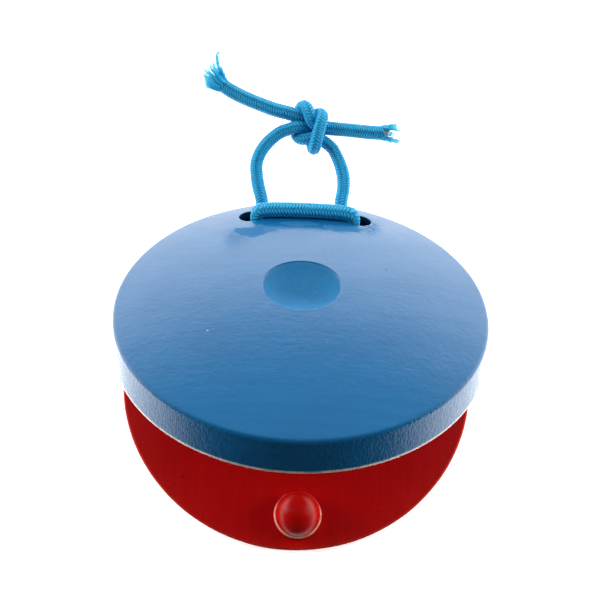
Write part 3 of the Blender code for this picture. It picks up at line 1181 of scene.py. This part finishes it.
@dataclass
class Knot:
    """The reef knot that closes the finger loop, pulled tight until its strands touch."""

    strands: list[np.ndarray]
    held: list[np.ndarray]
    thickness: float = 1.97
    rounds: int = 260
    push_share: float = 0.45
    smooth_share: float = 0.35
    home_share: float = 0.012

    def tighten(self) -> list[np.ndarray]:
        """Let the strands settle against each other.

        Returns:
            The settled strands, point for point.
        """
        sizes = [len(strand) for strand in self.strands]
        owner = np.repeat(np.arange(len(sizes)), sizes)
        order = np.concatenate([np.arange(size) for size in sizes])
        points = np.vstack(self.strands)
        home = points.copy()
        free = ~np.concatenate(self.held)
        spacing = run_length(self.strands[0]) / (sizes[0] - 1)
        apart = int(self.thickness * 1.5 / spacing)
        other_strand = owner[:, None] != owner[None, :]
        touching = other_strand | (np.abs(order[:, None] - order[None, :]) > apart)
        for _ in range(self.rounds):
            gap = points[:, None, :] - points[None, :, :]
            far = np.linalg.norm(gap, axis=2) + 1e-9
            push = np.where(touching & (far < self.thickness), (self.thickness - far) / far, 0.0)
            shift = (gap * push[:, :, None]).sum(axis=1)
            count = np.maximum(1, (push > 0).sum(axis=1))[:, None]
            moved = points + shift / count * self.push_share
            smooth = moved.copy()
            inner = (order > 0) & (np.roll(order, -1) > order)
            middle = (np.roll(moved, 1, axis=0) + np.roll(moved, -1, axis=0)) / 2
            smooth[inner] += (middle[inner] - moved[inner]) * self.smooth_share
            smooth += (home - smooth) * self.home_share
            points[free] = smooth[free]
        return np.split(points, np.cumsum(sizes)[:-1])


@dataclass(frozen=True)
class HalfCord:
    """The run of one half of the free cord, from inside the lower shell to its cut end."""

    side: Side
    leg: list[Point]
    ring: Profile
    knot: list[Point]
    tail: Profile
    length: float
    knot_share: float
    tail_share: float
    fray: dict

    def controls(self) -> list[Vector]:
        """The points that the half goes through, in the part's frame."""
        sign = self.side.value
        down = [(sign * BORE_FOOT_X, y, z) for y, z in BORE_FOOT]
        ring, tail = ([(x, y, 0.0) for x, y in run] for run in (self.ring, self.tail))
        return [Vector(p) for p in down + self.leg] + in_part(loop_frame(), ring + self.knot + tail)


BORE_FOOT_X = 9.1
BORE_FOOT = [(20.2, 9.35), (20.2, 7.4), (20.25, 5.2), (20.35, 3.2), (20.72, 2.1), (21.7, 1.52)]
LEFT_HALF = HalfCord(
    side=Side.LEFT,
    leg=[
        (-9.05, 23.2, 1.6), (-8.9, 25.2, 2.1), (-8.6, 27.2, 3.2),
        (-8.2, 28.6, 4.8), (-7.85, 29.4, 6.3), (-7.6, 30.4, 7.8),
    ],
    ring=[
        (-7.95, 2.1), (-8.55, 4.0), (-8.98, 6.1), (-9.1, 8.0), (-8.6, 9.8),
        (-7.5, 11.6), (-5.9, 13.2), (-4.5, 14.1), (-3.25, 14.5),
    ],
    knot=[
        (-1.6, 14.7, 0.0), (-0.2, 14.5, -0.9), (0.5, 13.2, -2.0), (0.6, 11.8, -1.7), (0.8, 11.3, 0.0),
        (0.95, 11.9, 1.6), (1.25, 13.6, 2.1), (1.6, 15.6, 2.1), (1.95, 17.2, 1.4), (1.95, 17.65, -0.2),
        (1.2, 17.6, -1.7), (-0.3, 17.1, -1.7), (-1.8, 16.9, -0.7),
    ],
    tail=[
        (-3.25, 17.05), (-4.6, 17.25), (-6.6, 17.65), (-8.75, 18.3),
        (-10.9, 19.0), (-13.05, 19.85), (-14.8, 20.7), (-16.2, 21.6),
    ],
    length=0.0744,
    knot_share=0.56,
    tail_share=0.76,
    fray={
        "tufts": 16,
        "fibres_each": 18,
        "length": (2.6, 4.4),
        "flare": 0.48,
        "curl": 0.6,
        "seed": 11,
        "strays": [
            [
                (-16.2, 21.9, 0.3), (-16.5, 23.7, 0.5), (-17.0, 25.6, 0.6),
                (-17.0, 26.7, 0.5), (-16.5, 27.15, 0.4), (-15.6, 27.2, 0.3),
            ],
            [(-16.6, 22.2, 0.4), (-17.7, 24.8, 0.3), (-18.4, 25.9, 0.2)],
            [(-16.8, 21.9, 0.2), (-18.6, 23.3, 0.0), (-19.5, 24.0, -0.1)],
        ],
    },
)
RIGHT_HALF = HalfCord(
    side=Side.RIGHT,
    leg=[
        (8.95, 23.2, 1.6), (8.5, 25.2, 2.1), (7.8, 27.2, 3.2),
        (7.2, 28.6, 4.8), (6.7, 29.4, 6.3), (6.3, 30.4, 7.8),
    ],
    ring=[(6.1, 2.1), (6.35, 4.3), (6.25, 6.4), (5.7, 8.3), (4.85, 10.1), (3.95, 11.55)],
    knot=[
        (3.0, 12.7, -0.1), (1.7, 13.1, 0.0), (0.0, 12.9, 0.3), (-1.5, 12.9, 0.4), (-2.6, 13.5, -0.8),
        (-2.7, 15.2, -1.9), (-2.2, 17.2, -1.7), (-1.3, 18.5, -0.2), (-0.8, 17.9, 1.4), (-0.2, 16.3, 1.9),
        (0.5, 15.1, 0.7), (1.7, 14.8, 0.0),
    ],
    tail=[(3.85, 14.8), (6.0, 14.8), (8.2, 14.7), (10.5, 14.6), (12.9, 14.6)],
    length=0.0645,
    knot_share=0.50,
    tail_share=0.80,
    fray={
        "tufts": 14,
        "fibres_each": 16,
        "length": (3.0, 3.9),
        "flare": 0.16,
        "gap": 0.9,
        "lobes": 0.36,
        "curl": 0.0,
        "seed": 5,
        "strays": [
            [(13.0, 15.6, 0.3), (14.3, 16.0, 0.4), (15.2, 16.1, 0.3)],
            [(13.0, 13.7, 0.3), (14.6, 13.5, 0.3), (15.9, 13.2, 0.2)],
        ],
    },
)


@dataclass
class ElasticCord:
    """The whole elastic: bridge, risers, legs, finger loop, knot and tails."""

    halves: tuple[HalfCord, HalfCord] = (LEFT_HALF, RIGHT_HALF)
    thick: float = 1.12
    loop_thin: float = 1.09
    knot_thin: float = 1.02
    tail_thick: float = 1.19
    bridge_thick: float = 1.2
    riser_thick: float = 1.12 * 0.97
    slack_pitch: float = 4.0
    half_bridge: tuple[tuple[float, float], ...] = (
        (0.0, 8.48), (2.6, 8.46), (5.1, 8.36), (6.5, 8.22), (7.25, 7.98),
        (7.66, 7.3), (7.71, 6.5), (7.74, 5.0), (7.85, 2.5), (8.0, 0.15),
    )
    knot_step: float = 0.45
    knot_middle: Point = (0.3, 15.1, 0.0)
    knot_reach: float = 5.2
    swing_from: Point = (0.0, 29.4, 6.3)
    swing_to: Point = (0.0, 32.0, 9.4)

    def loop_lines(self) -> list[np.ndarray]:
        """Lay out both halves of the free cord and pull the knot between them tight.

        Returns:
            Each half's centreline from inside the lower shell to its cut end, in
            millimetres in the part's frame.
        """
        runs = [np.array(smooth_line(half.controls())) for half in self.halves]
        lines = [evenly(run, self.knot_step) for run in runs]
        middle = np.array(in_part(loop_frame(), [self.knot_middle])[0])
        held = [np.linalg.norm(line - middle, axis=1) > self.knot_reach for line in lines]
        return [self.smoothed(line) for line in Knot(lines, held).tighten()]

    def smoothed(self, line: np.ndarray) -> np.ndarray:
        """Round a settled line off, so that its skin has no creases."""
        return np.array(smooth_line([Vector(p) for p in line], 6))

    def half_radius(self, half: HalfCord) -> Callable[[np.ndarray], np.ndarray]:
        """How thick the free cord is: thin where the loop is stretched, fat in the slack tail.

        Args:
            half: Which half.

        Returns:
            A function from the share of the length to the radius, in millimetres.
        """
        knot, tail = half.knot_share, half.tail_share
        stations = [0.0, 0.22, knot - 0.06, knot, tail - 0.04, tail + 0.04, 1.0]
        sizes = [self.thick, *[self.loop_thin] * 2, *[self.knot_thin] * 2, *[self.tail_thick] * 2]

        def radius(share: np.ndarray) -> np.ndarray:
            """The radius at each share of the length."""
            return np.interp(share, stations, sizes) + 0.012 * np.sin(share * 61.0)

        return radius

    def even_cord(self, name: str, line: np.ndarray, thick: float) -> Object:
        """Make a slack stretch of the cord, of one thickness."""
        cord = BraidedCord(name, line, lambda share: np.full(len(share), thick), self.slack_pitch)
        return cord.build()

    def make_bridge(self, yarn: Material) -> None:
        """Make the stretch over the upper shell, from inside one hole to inside the other."""
        right = [(x, BORE_Y, z) for x, z in self.half_bridge]
        left = [(-x, y, z) for x, y, z in reversed(right[1:])]
        line = np.array(smooth_line(in_part(upper_frame(), left + right)))
        bridge = self.even_cord("cord_over_upper_shell", line, self.bridge_thick)
        bridge.data.materials.append(yarn)
        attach(bridge, Body.UPPER.value)
        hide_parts("cord_bridge")

    def make_risers(self, yarn: Material) -> None:
        """Make the two short stretches between the shells."""
        for side in Side:
            sign = side.value
            route = [(sign * x, BORE_Y, z) for x, z in ((7.95, 1.4), (8.0, -0.15), (8.05, -1.0))]
            top = in_part(upper_frame(), route)
            foot = [Vector((sign * x, 20.2, z)) for x, z in ((9.05, 10.5), (9.1, 9.65), (9.1, 8.3))]
            line = np.array(smooth_line(top + foot))
            riser = self.even_cord("cord_between_shells_" + side.word, line, self.riser_thick)
            riser.data.materials.append(yarn)
            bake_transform(riser)
            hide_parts("cord_riser_" + side.word)

    def make_loop(
        self, yarn: Material, fibre: Material, rubber: Material
    ) -> None:
        """Make the free cord: both legs, the finger loop, the knot, the tails and their ends.

        Args:
            yarn: The sheath's material.
            fibre: The loose fibres' material.
            rubber: The core's material.
        """
        for half, line in zip(self.halves, self.loop_lines()):
            word = half.side.word
            cord = BraidedCord("finger_loop_cord_" + word, line, self.half_radius(half)).build()
            cord.data.materials.append(yarn)
            nodes = [f"cord_{part}_{word}" for part in ("leg", "bend", "loop", "tail")]
            if half.side is Side.LEFT:
                nodes.append("cord_knot")
            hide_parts(*nodes)
            ends = FrayedEnd(half.side, line, **half.fray).make(fibre, rubber)
            tuple(half.controls()[3] * MM)
            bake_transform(cord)


@dataclass
class FrayedEnd:
    """A cut end of the cord, its sheath burst into loose fibres round the core."""

    side: Side
    line: np.ndarray
    tufts: int
    fibres_each: int
    length: tuple[float, float]
    flare: float
    curl: float
    strays: list[list[Point]]
    seed: int
    radius: float = 1.1
    rows: int = 12
    sides: int = 5
    gap: float = 2.0
    lobes: float = 0.0
    stray_fibres: int = 9

    def __post_init__(self) -> None:
        """Find the cord's end, its heading there, and which way the fibres curl."""
        self.tip = self.line[-1]
        heading = self.line[-1] - self.line[-8]
        self.along = heading / np.linalg.norm(heading)
        self.lift = np.array(loop_frame().to_3x3() @ Vector((0.0, 0.95, 0.1)))

    def tuft_line(self, rng: random.Random, turn: float, length: float, lean: float) -> np.ndarray:
        """The run of one yarn of the sheath after it comes loose.

        Args:
            rng: The source of chance.
            turn: Its angle round the cord.
            length: Its length.
            lean: How far it leans out.

        Returns:
            The points along it.
        """
        first = np.cross(self.along, self.lift)
        first /= np.linalg.norm(first)
        second = np.cross(first, self.along)
        out = first * math.cos(turn) + second * math.sin(turn)
        at = self.tip - self.along * 0.5 + out * (self.radius - 0.14)
        heading = self.along + out * lean
        bend = self.lift * self.curl - out * 0.12
        bend = bend + np.array([rng.gauss(0.0, 0.22) for _ in range(3)])
        points = [at]
        for _ in range(self.rows - 1):
            heading = heading + bend / self.rows
            heading /= np.linalg.norm(heading)
            at = at + heading * length / (self.rows - 1)
            points.append(at)
        return np.array(points)

    def split(
        self, rng: random.Random, line: np.ndarray, spread: float, thick: float
    ) -> tuple[np.ndarray, float]:
        """Part one fibre from a yarn: beside it at the root, wandering off at the tip.

        Args:
            rng: The source of chance.
            line: The yarn's run.
            spread: How far from the yarn's middle the fibre lies.
            thick: The fibre's radius at its root.

        Returns:
            The fibre's points and its radius.
        """
        share = np.linspace(0.0, 1.0, len(line))[:, None]
        side, stray, wave = (
            np.array([rng.gauss(0.0, size) for _ in range(3)]) for size in (spread, spread * 1.7, 0.05)
        )
        wave = wave * np.sin(share * rng.uniform(5.0, 11.0))
        along = share[:, 0] * rng.uniform(0.7, 1.0)
        points = np.column_stack([np.interp(along, share[:, 0], line[:, k]) for k in range(3)])
        points += side * (1.0 - share * 0.3) + stray * share**2 + wave * share
        return points, thick * rng.uniform(0.75, 1.1)

    def strands(self) -> list[tuple[np.ndarray, float]]:
        """Lay out every fibre of every loose yarn, and the few long strays.

        Returns:
            (points, thickness) of each fibre.
        """
        rng = random.Random(self.seed)
        made = []
        for tuft in range(self.tufts):
            turn = math.tau * (tuft + rng.uniform(-0.2, 0.2)) / self.tufts
            length = rng.uniform(*self.length) * (1.0 - self.lobes * math.cos(turn) ** 2)
            line = self.tuft_line(rng, turn, length, self.flare * rng.uniform(0.5, 1.3))
            if math.cos(turn) > self.gap:
                continue
            made += [self.split(rng, line, 0.15, 0.09) for _ in range(self.fibres_each)]
        for stray in self.strays:
            line = evenly(np.array(smooth_line(in_part(loop_frame(), stray))), 0.22)
            made += [self.split(rng, line, 0.08, 0.12) for _ in range(self.stray_fibres)]
        return made

    def build(self) -> Object:
        """Skin every fibre as a thin tapering tube in one mesh.

        Returns:
            The fray; fibre_run holds the share of the fibre's length at each point.
        """
        verts, faces, shares = [], [], []
        turn = np.linspace(0.0, math.tau, self.sides, endpoint=False)
        for line, thick in self.strands():
            tangent = np.gradient(line, axis=0)
            tangent /= np.linalg.norm(tangent, axis=1)[:, None]
            first = np.cross(tangent, self.lift + np.array([0.31, 0.17, 0.23]))
            first /= np.linalg.norm(first, axis=1)[:, None]
            second = np.cross(tangent, first)
            base, rows = len(shares), len(line)
            for i in range(rows):
                share = i / (rows - 1)
                size = thick * (1.0 - 0.7 * share**1.5)
                for t in turn:
                    spoke = first[i] * math.cos(t) + second[i] * math.sin(t)
                    verts.append(line[i] + spoke * size)
                    shares.append(share)
            faces += tube_faces(rows, self.sides, base)
            faces.append(tuple(base + j for j in reversed(range(self.sides))))
            faces.append(tuple(base + (rows - 1) * self.sides + j for j in range(self.sides)))
        fray = mesh_object("frayed_sheath_" + self.side.word, np.array(verts), faces)
        store(fray, "fibre_run", shares)
        return fray

    def build_core(self) -> Object:
        """Make the stub of latex core that stands out of the cut sheath.

        Returns:
            The stub, with a slanting, slightly torn end.
        """
        side = [(0.55, 0.4), (0.53, -0.2), (0.5, -0.6), (0.0, -0.6)]
        profile = [(0.0, 0.95)] + arc((0.38, 0.8), 0.15, 80, 0, 4) + side
        verts, faces = turned_mesh(profile, 24)
        for vert in verts:
            if vert[2] > 0.5:
                vert[2] += vert[0] * 0.35 + 0.06 * noise.noise(Vector(vert) * 4.0)
        stub = mesh_object("latex_core_end_" + self.side.word, verts, faces)
        turn = Vector(self.along).to_track_quat("Z", "Y").to_matrix().to_4x4()
        stub.matrix_world = Matrix.Translation(Vector(self.tip) * MM) @ turn
        return stub

    def make(self, fibre: Material, rubber: Material) -> list[Object]:
        """Make the fray and the core's end, and hang them on the finger loop.

        Args:
            fibre: The loose fibres' material.
            rubber: The core's material.

        Returns:
            The fray and the core's end.
        """
        fray, core = self.build(), self.build_core()
        for piece, material, node, slot in (
            (fray, fibre, "cord_fray_", "cord_sheath"),
            (core, rubber, "core_end_", "rubber_core"),
        ):
            piece.data.materials.append(material)
            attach(piece, Body.LOOP.value)
            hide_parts(node + self.side.word)
        LOG.info("%s: %d faces", fray.name, len(fray.data.polygons))
        return [fray, core]


# --------------------------------------------------------------------------- studio


@dataclass
class Studio:
    """A pale sweep lit all round and from above, open and dark only towards the camera."""

    stand: Point = (-1.476, -56.669, 160.648)
    ahead: Point = (0.00779, 0.41723, -0.90877)
    across: Point = (0.99976, 0.01526, 0.01557)
    roll: float = 2.14
    field_of_view: float = 33.6
    sensor: float = 36.0
    floor_half: float = 0.6
    table_glow: float = 2.75
    near_glow: float = 1.8
    paper_glow: float = 0.9
    backdrop: float = 2.9
    dark_share: float = 0.03
    lamp_side: float = 0.3
    lamp_aim: Point = (0.0, 0.0, 0.015)

    def make_camera(self) -> None:
        """Stand the camera above and in front, looking down at the shells."""
        data = bpy.data.cameras.new("studio_camera")
        data.sensor_width = self.sensor
        data.lens = self.sensor / 2 / math.tan(math.radians(self.field_of_view) / 2)
        data.clip_start, data.clip_end = 0.01, 10.0
        camera = bpy.data.objects.new("studio_camera", data)
        bpy.context.scene.collection.objects.link(camera)
        ahead, right = Vector(self.ahead).normalized(), Vector(self.across).normalized()
        up = right.cross(ahead)
        turn = math.radians(self.roll)
        level = right * math.cos(turn) + up * math.sin(turn)
        rise = up * math.cos(turn) - right * math.sin(turn)
        axes = Matrix((level, rise, -ahead)).transposed().to_4x4()
        camera.matrix_world = Matrix.Translation(Vector(self.stand) * MM) @ axes
        bpy.context.scene.camera = camera

    def make_floor(self) -> None:
        """Lay the pale floor, which glows like a light table round and behind the part."""
        half = self.floor_half / MM
        corners = [(x * half, y * half, 0.0) for x, y in ((-1, -1), (1, -1), (1, 1), (-1, 1))]
        floor = mesh_object("studio_floor", corners, [(0, 1, 2, 3)], smooth=False)
        made, n, shader, place = new_material("pale_studio_floor")
        paper = {"Base Color": (0.9, 0.9, 0.9, 1.0), "Roughness": 0.9, "Specular IOR Level": 0.1}
        n.feed(shader, paper)
        axes = n.axes(place)
        beside = n.math("SUBTRACT", n.math("ABSOLUTE", axes["X"]), 0.065)
        nearness = n.plus(axes["Y"], n.times(beside, 0.5))
        glow = n.span(nearness, -0.088, -0.008, self.dark_share, self.table_glow)
        glow = n.plus(glow, n.span(n.length(place), 0.033, 0.045, self.near_glow, 0.0))
        path = n.add("LightPath").outputs
        soft = n.math("SUBTRACT", 1.0, n.times(path["Is Diffuse Ray"], 0.6))
        light = n.add("Emission", {"Strength": n.times(glow, soft)})
        seen = n.add("Emission", {"Strength": self.paper_glow})
        lit = n.add("AddShader", {0: shader.outputs[0], 1: seen.outputs[0]})
        feeds = {0: path["Is Camera Ray"], 1: light.outputs[0], 2: lit.outputs[0]}
        switch = n.add("MixShader", feeds)
        n.feed(made.node_tree.nodes["Material Output"], {"Surface": switch.outputs[0]})
        floor.data.materials.append(made)

    def make_surround(self) -> None:
        """Light the room: a bright backdrop behind and beside, dark towards the camera."""
        world = bpy.data.worlds.new("studio_surround")
        bpy.context.scene.world = world
        world.use_nodes = True
        n = Nodes(world.node_tree)
        axes = n.axes(n.add("TexCoord").outputs["Generated"])
        depth = n.span(axes["Y"], -0.3, 0.5, self.dark_share, 1.0)
        level = n.times(depth, n.span(axes["Z"], 0.06, 0.66, self.backdrop, 0.5))
        seen = n.add("LightPath").outputs["Is Camera Ray"]
        strength = n.plus(n.times(level, n.math("SUBTRACT", 1.0, seen)), seen)
        back = world.node_tree.nodes["Background"]
        n.feed(back, {"Color": (1.0, 1.0, 1.0, 1.0), "Strength": strength})

    def make_lamp(self, name: str, place: Point, watts: float) -> None:
        """Hang one large soft lamp that points at the castanets.

        Args:
            name: The lamp's name.
            place: Where it hangs, in metres.
            watts: Its power.
        """
        data = bpy.data.lights.new(name, "AREA")
        data.shape, data.size, data.energy = "SQUARE", self.lamp_side, watts
        lamp = bpy.data.objects.new(name, data)
        bpy.context.scene.collection.objects.link(lamp)
        lamp.location = place
        aim = Vector(self.lamp_aim) - lamp.location
        lamp.rotation_euler = aim.to_track_quat("-Z", "Y").to_euler()
        lamp.visible_glossy = False
        lamp.visible_camera = False

    def make(self) -> None:
        """Set up the camera, floor, surround and lamps."""
        bpy.context.scene.view_settings.view_transform = "Standard"
        self.make_camera()
        self.make_floor()
        self.make_surround()
        self.make_lamp("left_softbox", (-0.42, 0.09, 0.24), 1.5)
        self.make_lamp("right_softbox", (0.42, 0.09, 0.24), 1.4)
        LOG.info("studio ready")


# --------------------------------------------------------------------------- finishes used

BLUE = Lacquer(
    name="blue_lacquer_on_wood",
    colour=(0.0072, 0.140, 0.345),
    deep=(0.0045, 0.122, 0.310),
    # pale lip line: partly thin worn paint, partly a painted highlight
    edge=(0.95, 0.93, 0.84),
    roughness=0.17,
    peel=0.5,
    grain=0.12,
    edge_height=(-0.1, 0.48),
    edge_radius=27.72,
    matte_dimple=5.75,
    rubs=((-8.3, 14.9, 3.4, 2.3), (6.6, 17.0, 4.0, 1.4), (-1.0, 17.8, 3.2, 1.0)),
    brushed_rim=0.5,
)
RED = Lacquer(
    name="red_lacquer_on_wood",
    colour=(0.56, 0.0030, 0.0016),
    deep=(0.50, 0.0020, 0.0010),
    # lighter red edge line: partly thin worn paint, partly a painted highlight
    edge=(0.66, 0.03, 0.015),
    roughness=0.26,
    peel=0.15,
    grain=0.12,
    edge_height=(0.0, 0.22),
    edge_radius=27.75,
    brushed_rim=0.3,
    sheen=0.2,
    bores_at=-BORE_Y,
    turn_grain=True,
)
KNOB_RED = Lacquer(
    name="red_lacquer_on_knob",
    colour=(0.62, 0.0036, 0.0016),
    deep=(0.55, 0.0025, 0.0012),
    # pale crescent on the knob's edge: partly thin worn paint, partly a painted highlight
    edge=(0.95, 0.44, 0.32),
    roughness=0.3,
    peel=0.3,
    grain=0.05,
    edge_height=(1.42, 1.9),
    edge_radius=3.44,
    front_wear_and_highlight=True,
    sheen=0.38,
)


def main() -> None:
    """Build the castanets round the frame and set up the studio."""
    logging.basicConfig(level=logging.INFO, format="%(name)s: %(message)s")
    Studio().make()
    fx = Effects()
    Shell(
        "turned_lower_shell", "lower_shell", Body.LOWER, lower_frame(), RED, "red_lacquer",
        hole_at=(BORE_X, -BORE_Y), socket=(1.8, 2.8, 1.2, 23.0),
    ).make(fx)
    Shell(
        "turned_upper_shell", "upper_shell", Body.UPPER, upper_frame(), BLUE, "blue_lacquer",
        dimple=5.75, land=0.0, dimple_lip=0.2,
    ).make(fx)
    StrikerKnob(KNOB_RED).make(fx)
    cord = ElasticCord()
    yarn = BraidYarn().material(fx)
    cord.make_bridge(yarn)
    cord.make_risers(yarn)
    cord.make_loop(yarn, LooseFibre().material(fx), Rubber().material(fx))


if __name__ == "__main__":
    main()
